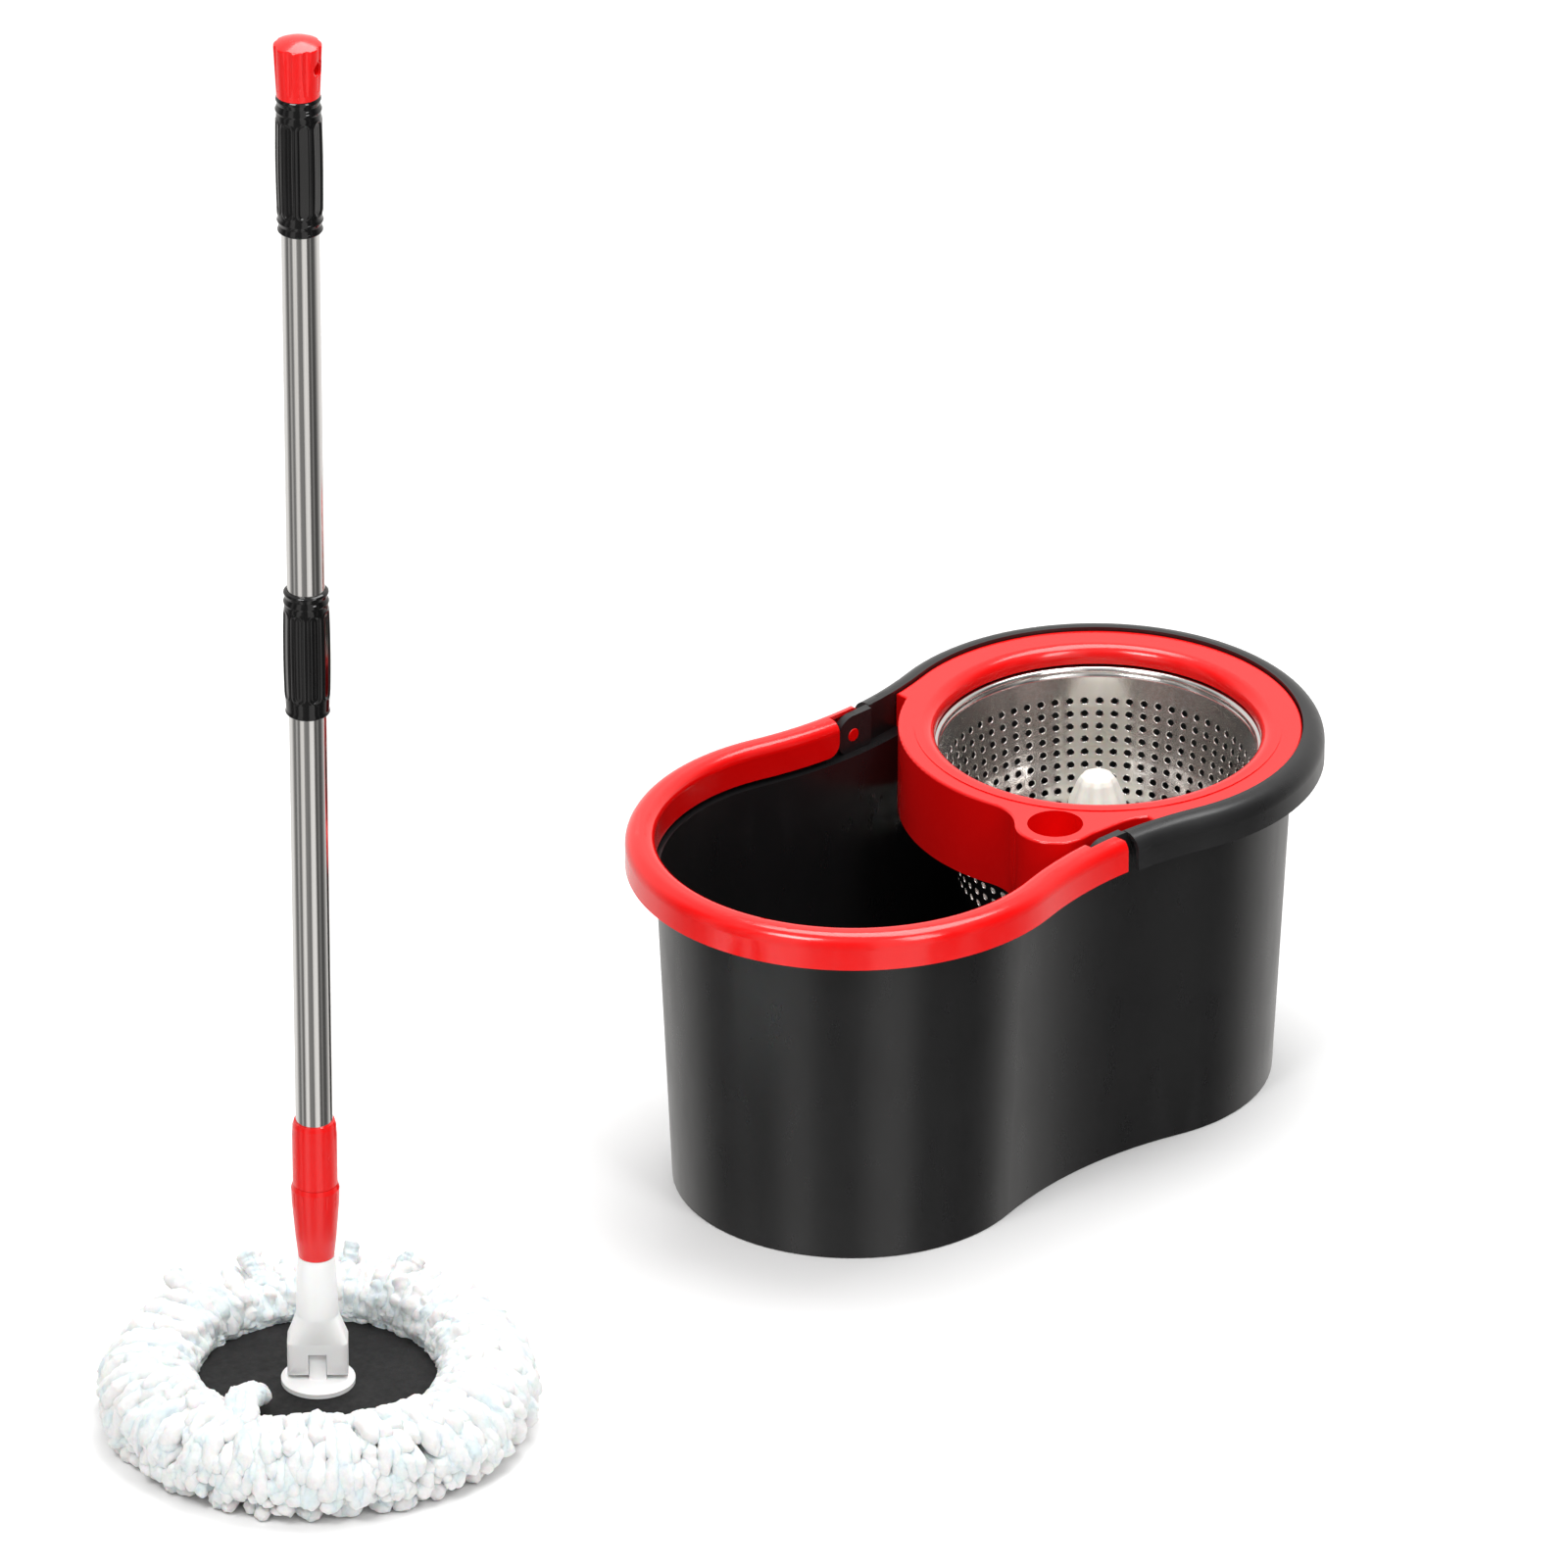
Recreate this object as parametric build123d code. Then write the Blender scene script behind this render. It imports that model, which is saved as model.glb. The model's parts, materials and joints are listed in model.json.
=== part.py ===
from build123d import *
import math
import os

# Spin mop set: a two-lobed bucket with a spinning basket, and a telescopic mop beside it.
# Millimetres, +Z up, floor at z = 0, origin at the bottom centre of the whole set.
# The bucket's long axis lies along X: wash lobe towards -X, spin lobe towards +X.

# ---------------------------------------------------------------- driving dimensions

# Layout on the floor
BUCKET_X = 224.85         # middle of the bucket's waist
MOP_X = -337.1            # axis of the mop pole
MOP_YAW = -43.2           # turn of the mop about its pole, so that its fork faces outwards

# Bucket plan: two equal lobes joined by concave waist arcs
LOBE_SPACING = 215.1      # distance between the lobe centres
WAIST_DROP = 15.0         # a lobe's radius minus the half-width at the waist
BASE_R = 114.4            # outer lobe radius at the floor
WALL = 2.6                # moulded wall thickness
FOOT_RECESS = 2.0         # hollow under the floor, inside the foot ring
FOOT_WIDTH = 9.0
FLOOR_TOP = 5.0

# Bucket rim
LEDGE_Z = 218.6           # top of the step where the wall widens
LEDGE_R = 124.4           # outer lobe radius just below the step
RIM_IN_R = 130.8          # inner lobe radius of the upstanding rim wall
RIM_TOP_Z = 240.2         # top of that wall along the wash tub
FLANGE_R = 139.6          # outward flange under the carry handle
FLANGE_Z = 220.0
FLANGE_T = 2.5
HOOD_R = 144.7            # rolled hood round the spin lobe
HOOD_TOP_Z = 244.2
HOOD_LOW_Z = 221.0
HOOD_START = 17.0         # the hood starts this far past the waist

# Splash deck
DECK_TOP_Z = 242.2
DECK_T = 2.4
DECK_GAP = 0.5            # between the deck's edge and the rim wall
DECK_RING_R = 127.5       # free edge round the basket, towards the wash tub
DECK_SKIRT = 2.0
DECK_LIP_Z = 242.8        # raised lip round the basket hole
DECK_HOLE_R = 104.0
DECK_HOLE_ROUND = 8.0
DECK_LIP_R = 117.5        # where the raised lip steps down to the flat
DECK_COLLAR_Z = 231.5     # lower edge of the collar inside the hole
DECK_SKIRT_LOW_Z = 184.6
POCKET_AT = (-113.2, -77.8)
POCKET_R = 17.7
POCKET_WALL_R = 25.8
POCKET_BLEND_R = 30.0     # concave blend between the ring and the pocket lobe
POCKET_DEPTH = 36.0
EAR_X = -64.0             # where the deck widens to the rim, from the spin axis

# Spin basket, about the spin axis
BASKET_BOTTOM_Z = 122.0
BASKET_LOW_R = 87.0
BASKET_TOP_R = 102.2
BASKET_RIM_Z = 227.0
BASKET_RIM_R = 104.0
BASKET_RIM_ROLL = 2.5
BASKET_SHEET = 0.9
BASKET_CORNER = 11.0
POST_TOP_Z = 208.0
POST_FLUTES = 8
COLUMN_TOP_Z = 96.0
SPINDLE_R = 4.0
RUNNING_GAP = 0.05        # radial clearance of a running fit

# Carry handle
PIVOT_Z = 230.0
PIN_R = 4.7
HANDLE_IN_R = 124.4
HANDLE_OUT_R = 143.5
HANDLE_LOW_Z = 222.2
HANDLE_TOP_Z = 245.0
HANDLE_SKIN = 2.4
PAD_R = 14.0              # pad round the pivot, clear of the leg's swing
PAD_END = 15.5            # its far edge, past the pivot
PAD_TOP = 13.9            # its top, above the pivot
HANDLE_ARM_END = 9.5      # the arm ends this far past the pivot
HANDLE_NOSE_R = 16.1      # its end is rounded to this radius about the pivot, to swing past the hood
HANDLE_LEG_END = 15.0     # the inner leg ends this far before the pivot
ARM_IN_R = 134.4          # inner face of the arm, just outside the rim wall

# Mop head
RING_R = 140.0
RING_TOP_Z = 52.0
DISC_R = 80.0
DISC_TOP_Z = 25.0
DISC_LOW_Z = 18.0
HUB_R = 23.0
HUB_TOP_Z = 30.0
HINGE_Z = 41.0
TONGUE_W = 10.7
TONGUE_R = 7.6
HINGE_PIN_R = 2.5
FORK_W = 37.5
FORK_EAR_R = 10.5
FORK_TOP_Z = 74.0

# Pole
NECK_TOP_Z = 115.0
LOCK_LOW_Z = 115.3
LOCK_TOP_Z = 166.0
COLLAR_LOW_Z = 166.3
COLLAR_TOP_Z = 210.0
INNER_TUBE_R = 9.5
INNER_TUBE_TOP_Z = 430.0
TUBE_R = 11.5
TUBE_SKIN = 0.5
JOIN_Z = 534.0            # where the two outer tubes meet
SLEEVE_LOW_Z = 492.0
SLEEVE_TOP_Z = 576.0
GRIP_LOW_Z = 816.0
CAP_LOW_Z = 906.0
CAP_TOP_Z = 942.0
HANG_Z = 925.0
HANG_R = 4.0
HANG_TURN = -22.5         # turn of the hanging hole about the pole, from the fork's pin
STRIP_W = 12.0
STRIP_T = 2.0
STRIP_LEAD = 100.0        # length of one full turn of the twisted strip
STRIP_LOW_Z = 120.0
STRIP_TOP_Z = 470.0

SPIN_X = LOBE_SPACING / 2


# ---------------------------------------------------------------- helpers

def lobes(radius):
    """Two-lobed outline: two circles joined by tangent concave waist arcs."""
    half = LOBE_SPACING / 2
    waist = radius - WAIST_DROP
    arc_r = (half**2 + waist**2 - radius**2) / (2 * (radius - waist))
    share = radius / (radius + arc_r)
    join_x = -half + share * half
    join_y = share * (waist + arc_r)
    left = ThreePointArc((join_x, join_y), (-half - radius, 0), (join_x, -join_y))
    front = ThreePointArc((join_x, -join_y), (0, -waist), (-join_x, -join_y))
    right = ThreePointArc((-join_x, -join_y), (half + radius, 0), (-join_x, join_y))
    back = ThreePointArc((-join_x, join_y), (0, waist), (join_x, join_y))
    return make_face([left, front, right, back])


def slab(face, low, high):
    """A flat outline raised from one height to another."""
    return Pos(0, 0, low) * extrude(face, high - low)


def lobe_slab(radius, low, high):
    return slab(lobes(radius), low, high)


def block(x, y, z):
    """A box from its (low, high) limits along X, Y and Z."""
    size = (x[1] - x[0], y[1] - y[0], z[1] - z[0])
    return Pos(sum(x) / 2, sum(y) / 2, sum(z) / 2) * Box(*size)


def rod(radius, low, high, x=0.0, y=0.0):
    """A vertical cylinder."""
    return Pos(x, y, (low + high) / 2) * Cylinder(radius, high - low)


def tube(outer, inner, low, high):
    return rod(outer, low, high) - rod(inner, low, high)


def rod_along_y(radius, x, z, low, high):
    return Pos(x, (low + high) / 2, z) * (Rot(90, 0, 0) * Cylinder(radius, high - low))


def rod_along_x(radius, z, low, high):
    return Pos((low + high) / 2, 0, z) * (Rot(0, 90, 0) * Cylinder(radius, high - low))


def turned(points):
    """A solid of revolution about Z from its (radius, height) outline."""
    face = make_face(Polyline(*[(r, 0, z) for r, z in points], close=True))
    return revolve(face, Axis.Z)


def round_top(solid, outer, inner):
    """Round the outer and inner top edges of a ring-shaped solid."""
    top = solid.faces().sort_by(Axis.Z)[-1]
    solid = fillet(solid.edges() & top.outer_wire().edges(), outer) if outer else solid
    if inner:
        top = solid.faces().filter_by(Axis.Z).sort_by(Axis.Z)[-1]
        solid = fillet(top.inner_wires()[0].edges(), inner)
    return solid


# ---------------------------------------------------------------- bucket

def draft_slab(base_radius, low, high):
    """The two-lobed outline widening upwards at the mould's draft."""
    angle = math.degrees(math.atan((LEDGE_R - BASE_R) / LEDGE_Z))
    start = base_radius + low * math.tan(math.radians(angle))
    return Pos(0, 0, low) * extrude(lobes(start), high - low, taper=-angle)


def rim_hood():
    """The rolled hood round the spin lobe, open below, with open ends at the waist."""
    outer = round_top(lobe_slab(HOOD_R, HOOD_LOW_Z, HOOD_TOP_Z), 11.0, 0)
    hollow = round_top(lobe_slab(HOOD_R - WALL, HOOD_LOW_Z - 1, HOOD_TOP_Z - WALL), 8.4, 0)
    post = lobe_slab(RIM_IN_R + WALL, HOOD_LOW_Z - 2, HOOD_TOP_Z)
    shell = outer - (hollow - post)
    keep = block((HOOD_START, 400), (-200, 200), (0, 300))
    return shell & keep


def handle_boss(side):
    """Pad inside the wall round a handle pivot, with the wall raised to the hood behind it."""
    waist = RIM_IN_R - WAIST_DROP
    outline = Circle(PAD_R) + Pos(PAD_END / 2, (PAD_TOP - 11.0) / 2) * RectangleRounded(PAD_END, PAD_TOP + 11.0, 3.0)
    outline = outline + Pos(PAD_END - 2.0, PAD_TOP - 3.0) * Rectangle(4.0, 6.0)
    pad = Pos(0, side * waist, PIVOT_Z) * (Rot(90, 0, 0) * extrude(outline, 3.0, both=True))
    pad = pad & block((-30, 30), tuple(sorted((side * (waist - 3.0), side * (waist + WALL - 0.2)))), (0, 300))
    web = slab(lobes(RIM_IN_R + WALL) - lobes(RIM_IN_R - 0.4), RIM_TOP_Z - 1, PIVOT_Z + PAD_TOP)
    half = block((0, HOOD_START + 3), tuple(sorted((0, side * 200))), (0, 300))
    return pad + (web & half)


def spindle_column():
    """Hollow cone moulded up from the floor, with a solid head that holds the spindle."""
    outer = Pos(SPIN_X, 0, 0) * turned([(0, 0), (36, 0), (22, COLUMN_TOP_Z), (0, COLUMN_TOP_Z)])
    hollow_top = COLUMN_TOP_Z - 34
    hollow = Pos(SPIN_X, 0, 0) * turned([(0, -1), (33, -1), (21.5, hollow_top), (0, hollow_top)])
    bore = rod(SPINDLE_R, COLUMN_TOP_Z - 30, COLUMN_TOP_Z + 1, x=SPIN_X)
    return outer, hollow, bore


def make_bucket_body():
    wall = draft_slab(BASE_R, 0, LEDGE_Z) + lobe_slab(RIM_IN_R + WALL, LEDGE_Z - WALL, RIM_TOP_Z)
    tub = draft_slab(BASE_R - WALL, FLOOR_TOP, LEDGE_Z + 1)
    flange_zone = block((-400, HOOD_START), (-200, 200), (0, 300))
    gap_zone = block((-13, HOOD_START), (-200, 200), (0, 300))
    flange = (lobe_slab(FLANGE_R, FLANGE_Z, FLANGE_Z + FLANGE_T) & flange_zone) - gap_zone
    column, column_hollow, bore = spindle_column()
    body = wall + flange + rim_hood()
    body = body - tub - lobe_slab(RIM_IN_R, LEDGE_Z, HOOD_TOP_Z + 5)
    body = body - lobe_slab(BASE_R - FOOT_WIDTH, -1, FOOT_RECESS)
    body = body + column
    body = body - column_hollow - bore
    for side in (-1, 1):
        body = body + handle_boss(side)
    body = body - rod_along_y(PIN_R + RUNNING_GAP, 0, PIVOT_Z, -140, 140)
    return body


def deck_plan():
    """Outline of the deck: ring, pocket lobe and the part that reaches the rim."""
    ring = Circle(DECK_RING_R)
    pocket = Pos(*POCKET_AT) * Circle(POCKET_WALL_R)
    px, py = POCKET_AT
    bridge = make_face(Polyline((px, py - 24.6), (EAR_X, -106), (EAR_X, -60), (px, -40), close=True))
    rim = Pos(-SPIN_X, 0) * lobes(RIM_IN_R - DECK_GAP)
    wide = rim & (Pos(EAR_X + 150, 0) * Rectangle(300, 400))
    front = offset(offset(ring + pocket + bridge, POCKET_BLEND_R), -POCKET_BLEND_R)
    return (front + wide) & rim


def deck_lip():
    """The raised lip, rounded down into the basket hole, with a short collar."""
    r = DECK_HOLE_R
    big = DECK_HOLE_ROUND
    small = DECK_HOLE_ROUND - DECK_T
    start = DECK_HOLE_R + big
    centre_z = DECK_LIP_Z - big
    half = math.sqrt(0.5)
    outline = [
        Line((DECK_LIP_R, 0, DECK_LIP_Z), (start, 0, DECK_LIP_Z)),
        ThreePointArc((start, 0, DECK_LIP_Z), (start - big * half, 0, centre_z + big * half), (r, 0, centre_z)),
        Line((r, 0, centre_z), (r, 0, DECK_COLLAR_Z)),
        Line((r, 0, DECK_COLLAR_Z), (r + DECK_T, 0, DECK_COLLAR_Z)),
        Line((r + DECK_T, 0, DECK_COLLAR_Z), (r + DECK_T, 0, centre_z)),
        ThreePointArc((r + DECK_T, 0, centre_z), (start - small * half, 0, centre_z + small * half),
                      (start, 0, DECK_LIP_Z - DECK_T)),
        Line((start, 0, DECK_LIP_Z - DECK_T), (DECK_LIP_R, 0, DECK_LIP_Z - DECK_T)),
        Line((DECK_LIP_R, 0, DECK_LIP_Z - DECK_T), (DECK_LIP_R, 0, DECK_LIP_Z)),
    ]
    return revolve(make_face(outline), Axis.Z)


def make_splash_deck():
    """Glossy cover round the basket; built about the spin axis, then moved out to it."""
    plan = deck_plan()
    plate = slab(plan, DECK_TOP_Z - DECK_T, DECK_TOP_Z)
    plate = fillet(plate.faces().sort_by(Axis.Z)[-1].outer_wire().edges(), 1.6)
    inner_plan = offset(plan, -DECK_SKIRT)
    edge = slab(plan - inner_plan, LEDGE_Z, DECK_TOP_Z - DECK_T)
    fit = Pos(-SPIN_X, 0) * lobes(BASE_R + 5.3)
    deep_plan = plan & fit
    deep = slab(deep_plan - offset(deep_plan, -DECK_SKIRT), DECK_SKIRT_LOW_Z, DECK_TOP_Z - DECK_T)
    deep = deep & block((-200, EAR_X + 4), (-200, 200), (0, 300))
    hole = rod(DECK_LIP_R, 0, 300)
    px, py = POCKET_AT
    cup_low = DECK_TOP_Z - POCKET_DEPTH - 2
    cup = rod(POCKET_R + 2, cup_low, DECK_TOP_Z - 1, x=px, y=py)
    bore = rod(POCKET_R, cup_low + 2, DECK_TOP_Z + 1, x=px, y=py)
    deck = (plate - hole) + edge + deep + deck_lip() + cup - bore
    return Pos(SPIN_X, 0, 0) * deck


# ---------------------------------------------------------------- basket

def make_basket_bowl():
    """Thin steel bowl with a rolled rim and a hole in its floor for the screws."""
    sheet = BASKET_SHEET
    low = BASKET_BOTTOM_Z
    top = BASKET_RIM_Z - 0.8
    corner = BASKET_CORNER
    profile = Polyline((BASKET_TOP_R, 0, top), (BASKET_LOW_R, 0, low), (0, 0, low), (0, 0, low + sheet),
                       (BASKET_LOW_R - sheet, 0, low + sheet), (BASKET_TOP_R - sheet, 0, top), close=True)
    bowl = revolve(make_face(profile), Axis.Z)
    ring_edges = bowl.edges().filter_by(GeomType.CIRCLE)
    outer = ring_edges.filter_by(lambda e: abs(e.radius - BASKET_LOW_R) < 0.01)
    bowl = fillet(outer, corner)
    inner = bowl.edges().filter_by(GeomType.CIRCLE).filter_by(
        lambda e: abs(e.radius - (BASKET_LOW_R - sheet)) < 0.01)
    bowl = fillet(inner, corner - sheet)
    roll = Pos(0, 0, BASKET_RIM_Z) * Torus(BASKET_RIM_R, BASKET_RIM_ROLL)
    bowl = bowl + roll
    for x, y in screw_circle(14.0):
        bowl = bowl - rod(2.0, low - 1, low + 3, x=x, y=y)
    return bowl


def screw_circle(radius, count=3):
    step = 2 * math.pi / count
    return [(radius * math.cos(i * step), radius * math.sin(i * step)) for i in range(count)]


def make_basket_post():
    """Fluted centre post that the mop's disc drops over."""
    low = BASKET_BOTTOM_Z + BASKET_SHEET
    post = turned([(0, low), (32, low), (32, low + 3), (25, low + 9), (21, 150), (19, 187),
                   (13.5, 197), (13.2, 204), (9, POST_TOP_Z), (0, POST_TOP_Z)])
    for i in range(POST_FLUTES):
        angle = math.radians(360 / POST_FLUTES * (i + 0.5))
        groove = rod(3.4, 140, POST_TOP_Z + 1, x=17.6 * math.cos(angle), y=17.6 * math.sin(angle))
        post = post - groove
    for x, y in screw_circle(14.0):
        post = post - rod(2.0, low - 1, low + 9, x=x, y=y)
    return post


def make_basket_base():
    """Ribbed plastic disc under the bowl, with the hub that carries the bush."""
    top = BASKET_BOTTOM_Z
    base = turned([(0, top), (66, top), (66, top - 6), (63, top - 6), (63, top - 3), (16, top - 3),
                   (13, COLUMN_TOP_Z + 3), (0, COLUMN_TOP_Z + 3)])
    for i in range(6):
        rib = block((12, 64), (-1, 1), (top - 6, top - 2))
        base = base + Rot(0, 0, 60 * i + 30) * rib
    base = base - rod(7.0, COLUMN_TOP_Z, top - 1)
    for x, y in screw_circle(14.0):
        base = base - rod(2.0, top - 7, top + 1, x=x, y=y)
        base = base - rod(4.2, COLUMN_TOP_Z, top - 3, x=x, y=y)
    return base


def make_spindle_bush():
    """Closed-top plain bearing that turns on the spindle."""
    top = BASKET_BOTTOM_Z - 1
    bush = rod(7.0, COLUMN_TOP_Z + 3, top)
    return bush - rod(SPINDLE_R + RUNNING_GAP, COLUMN_TOP_Z, top - 4)


def make_spindle_pin():
    top = BASKET_BOTTOM_Z - 5.4
    pin = rod(SPINDLE_R, COLUMN_TOP_Z - 30, top)
    return chamfer(pin.edges().sort_by(Axis.Z)[-1], 0.6)


def make_basket_screws():
    low = BASKET_BOTTOM_Z - 3
    screws = []
    for x, y in screw_circle(14.0):
        screw = rod(2.0, low, BASKET_BOTTOM_Z + 8, x=x, y=y) + rod(4.0, low - 2.4, low, x=x, y=y)
        slot = block((x - 5, x + 5), (y - 0.5, y + 0.5), (low - 3, low - 1.4))
        screws.append(screw - slot)
    return Compound(screws)


def at_spindle(solid):
    return Pos(SPIN_X, 0, 0) * solid


# ---------------------------------------------------------------- carry handle

def make_carry_handle():
    """Bail of inverted-U section that straddles the wash tub's rim."""
    ring = lobe_slab(HANDLE_OUT_R, HANDLE_LOW_Z, HANDLE_TOP_Z) - lobe_slab(HANDLE_IN_R, 0, 300)
    ring = round_top(ring, 9.0, 7.0)
    channel = lobe_slab(HANDLE_OUT_R - HANDLE_SKIN, HANDLE_LOW_Z - 1, HANDLE_TOP_Z - HANDLE_SKIN)
    channel = channel - lobe_slab(HANDLE_IN_R + HANDLE_SKIN, 0, 300)
    channel = round_top(channel, 6.6, 4.6)
    bail = (ring - channel) & block((-400, HANDLE_ARM_END), (-200, 200), (0, 300))
    over_wall = lobe_slab(ARM_IN_R, 0, 300) & block((-HANDLE_LEG_END, 100), (-200, 200), (0, 300))
    bail = bail - over_wall
    nose = block((0, 50), (-200, 200), (200, 300)) - rod_along_y(HANDLE_NOSE_R, 0, PIVOT_Z, -200, 200)
    bail = bail - nose
    leg_round = 9.0
    corner = block((-HANDLE_LEG_END - leg_round, 0), (-112.5, 112.5), (200, HANDLE_LOW_Z + leg_round))
    keep = rod_along_y(leg_round, -HANDLE_LEG_END - leg_round, HANDLE_LOW_Z + leg_round, -130, 130)
    bail = bail - (corner - keep)
    waist = ARM_IN_R - WAIST_DROP
    for side in (-1, 1):
        low, high = sorted((side * waist, side * (waist + 8.0)))
        bail = bail + rod_along_y(7.2, 0, PIVOT_Z, low, high)
    return bail - rod_along_y(PIN_R, 0, PIVOT_Z, -126.5, 126.5)


def make_handle_pins():
    """Two pivot pins, one at each side of the waist, with a domed inner end."""
    inner = RIM_IN_R - WAIST_DROP - 3.4
    pins = []
    for side in (-1, 1):
        low, high = sorted((side * inner, side * 126.5))
        pin = rod_along_y(PIN_R, 0, PIVOT_Z, low, high)
        inner_end = pin.faces().sort_by(Axis.Y)[0 if side > 0 else -1]
        pins.append(fillet(inner_end.edges(), 1.2))
    return Compound(pins)


# ---------------------------------------------------------------- mop head

def make_mop_disc():
    """Disc with a rounded rim, a raised back ring and a socket for the basket's post."""
    disc = turned([(0, DISC_LOW_Z), (DISC_R - 2, DISC_LOW_Z), (DISC_R, DISC_LOW_Z + 2),
                   (DISC_R, DISC_TOP_Z - 3), (DISC_R - 3, DISC_TOP_Z), (0, DISC_TOP_Z)])
    socket = tube(17.0, 15.0, 6.0, DISC_LOW_Z + 1)
    disc = disc + socket
    for x, y in screw_circle(20.0):
        disc = disc - rod(1.6, 0, DISC_TOP_Z + 1, x=x, y=y)
    return disc


def make_fibre_plate():
    """Snap ring under the disc that the tufts are sewn to."""
    plate = tube(76.0, 40.0, 13.0, DISC_LOW_Z - 0.2)
    lip = tube(44.0, 40.0, DISC_LOW_Z - 0.2, DISC_LOW_Z)
    return plate + lip


def make_mop_fibres():
    """Plain outer shape of the tuft ring: flat below, swollen outside the disc."""
    profile = [(34, 0), (130, 0), (138, 6), (RING_R, 17), (136, 32), (122, 45), (102, RING_TOP_Z),
               (89, 46), (80.6, 28), (80.6, 17), (77, 12.8), (34, 12.8)]
    return turned(profile)


def make_disc_hub():
    """Flange on the disc with the upright tongue of the tilt hinge."""
    flange = turned([(0, DISC_TOP_Z), (HUB_R, DISC_TOP_Z), (HUB_R, HUB_TOP_Z - 2), (HUB_R - 2.5, HUB_TOP_Z),
                     (0, HUB_TOP_Z)])
    post = block((-TONGUE_W / 2, TONGUE_W / 2), (-TONGUE_R, TONGUE_R), (HUB_TOP_Z - 1, HINGE_Z))
    crown = rod_along_x(TONGUE_R, HINGE_Z, -TONGUE_W / 2, TONGUE_W / 2)
    hub = flange + post + crown
    hub = hub - rod_along_x(HINGE_PIN_R, HINGE_Z, -20, 20)
    for x, y in screw_circle(20.0):
        hub = hub - rod(1.6, DISC_TOP_Z - 1, HUB_TOP_Z - 2, x=x, y=y)
    return hub


def make_hub_screws():
    screws = []
    for x, y in screw_circle(20.0):
        screw = rod(1.6, DISC_LOW_Z, HUB_TOP_Z - 2, x=x, y=y)
        head = rod(2.8, DISC_LOW_Z - 2.2, DISC_LOW_Z, x=x, y=y)
        slot = block((x - 4, x + 4), (y - 0.4, y + 0.4), (DISC_LOW_Z - 3, DISC_LOW_Z - 1.4))
        screws.append(screw + head - slot)
    return Compound(screws)


def make_hinge_pin():
    """Fixed in the tongue; the fork turns on it."""
    half = FORK_W / 2 - 1.0
    return rod_along_x(HINGE_PIN_R, HINGE_Z, -half, half)


def make_fork():
    """Two rounded ears that straddle the tongue and rise into a round neck."""
    shoulder_z = 56.0
    profile = RectangleRounded(FORK_W, 2 * FORK_EAR_R, 4.0)
    neck = Pos(0, 0, FORK_TOP_Z) * Circle(13.2)
    crown = loft([(Pos(0, 0, shoulder_z) * profile).face(), neck.face()])
    ears = slab(profile, HINGE_Z - FORK_EAR_R - 1, shoulder_z)
    round_foot = rod_along_x(FORK_EAR_R, HINGE_Z, -30, 30) + block((-30, 30), (-15, 15), (HINGE_Z, 70))
    fork = crown + (ears & round_foot)
    slot_half = TONGUE_W / 2 + 0.3
    slot_top = HINGE_Z + TONGUE_R + 0.6
    fork = fork - block((-slot_half, slot_half), (-20, 20), (20, slot_top))
    pin_end = FORK_W / 2 - 0.9
    return fork - rod_along_x(HINGE_PIN_R + RUNNING_GAP, HINGE_Z, -pin_end, pin_end)


# ---------------------------------------------------------------- pole

def make_neck_sleeve():
    low = FORK_TOP_Z
    sleeve = turned([(0, low), (13.2, low), (13.2, low + 2), (12.9, low + 12), (11.5, NECK_TOP_Z),
                     (0, NECK_TOP_Z)])
    return sleeve - rod(INNER_TUBE_R, low + 6, NECK_TOP_Z + 1)


def make_inner_tube():
    return tube(INNER_TUBE_R, INNER_TUBE_R - TUBE_SKIN, FORK_TOP_Z + 6, INNER_TUBE_TOP_Z)


def make_lock_collar():
    """Twist collar: turn it to lock the pole to the inner tube."""
    low = LOCK_LOW_Z
    high = LOCK_TOP_Z
    collar = turned([(0, low), (11.3, low), (12.8, low + 14), (14.7, high - 13), (15.0, high - 3),
                     (14.0, high), (0, high)])
    for i in range(12):
        angle = math.radians(30 * i)
        groove = rod(1.0, low + 20, high - 4, x=15.5 * math.cos(angle), y=15.5 * math.sin(angle))
        collar = collar - groove
    return collar - rod(INNER_TUBE_R + RUNNING_GAP, low - 1, high + 1)


def make_tube_collar():
    """Fixed collar at the foot of the outer tube."""
    low = COLLAR_LOW_Z
    high = COLLAR_TOP_Z
    collar = turned([(0, low), (13.9, low), (13.9, high - 10), (13.5, high - 3), (12.6, high), (0, high)])
    collar = collar - rod(TUBE_R, low + 3, high + 1)
    return collar - rod(INNER_TUBE_R + 0.6, low - 1, low + 4)


def make_lower_tube():
    return tube(TUBE_R, TUBE_R - TUBE_SKIN, COLLAR_LOW_Z + 3, JOIN_Z)


def make_upper_tube():
    return tube(TUBE_R, TUBE_R - TUBE_SKIN, JOIN_Z, CAP_LOW_Z + 9)


def make_guide_bush():
    outer = TUBE_R - TUBE_SKIN - RUNNING_GAP
    inner = INNER_TUBE_R + RUNNING_GAP
    return tube(outer, inner, INNER_TUBE_TOP_Z - 34, INNER_TUBE_TOP_Z - 4)


def strip_section(extra):
    return Rectangle(STRIP_W + 2 * extra, STRIP_T + 2 * extra)


def twisted(extra, low, high):
    """The strip's section twisted about the pole's axis at the strip's lead."""
    turn = 360.0 / STRIP_LEAD
    start = Rot(0, 0, turn * low) * strip_section(extra)
    solid = Solid.extrude_linear_with_rotation(
        start.face(), center=(0, 0, 0), normal=(0, 0, high - low), angle=turn * (high - low))
    return Pos(0, 0, low) * solid


def make_twisted_strip():
    return twisted(0.0, STRIP_LOW_Z, STRIP_TOP_Z)


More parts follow.
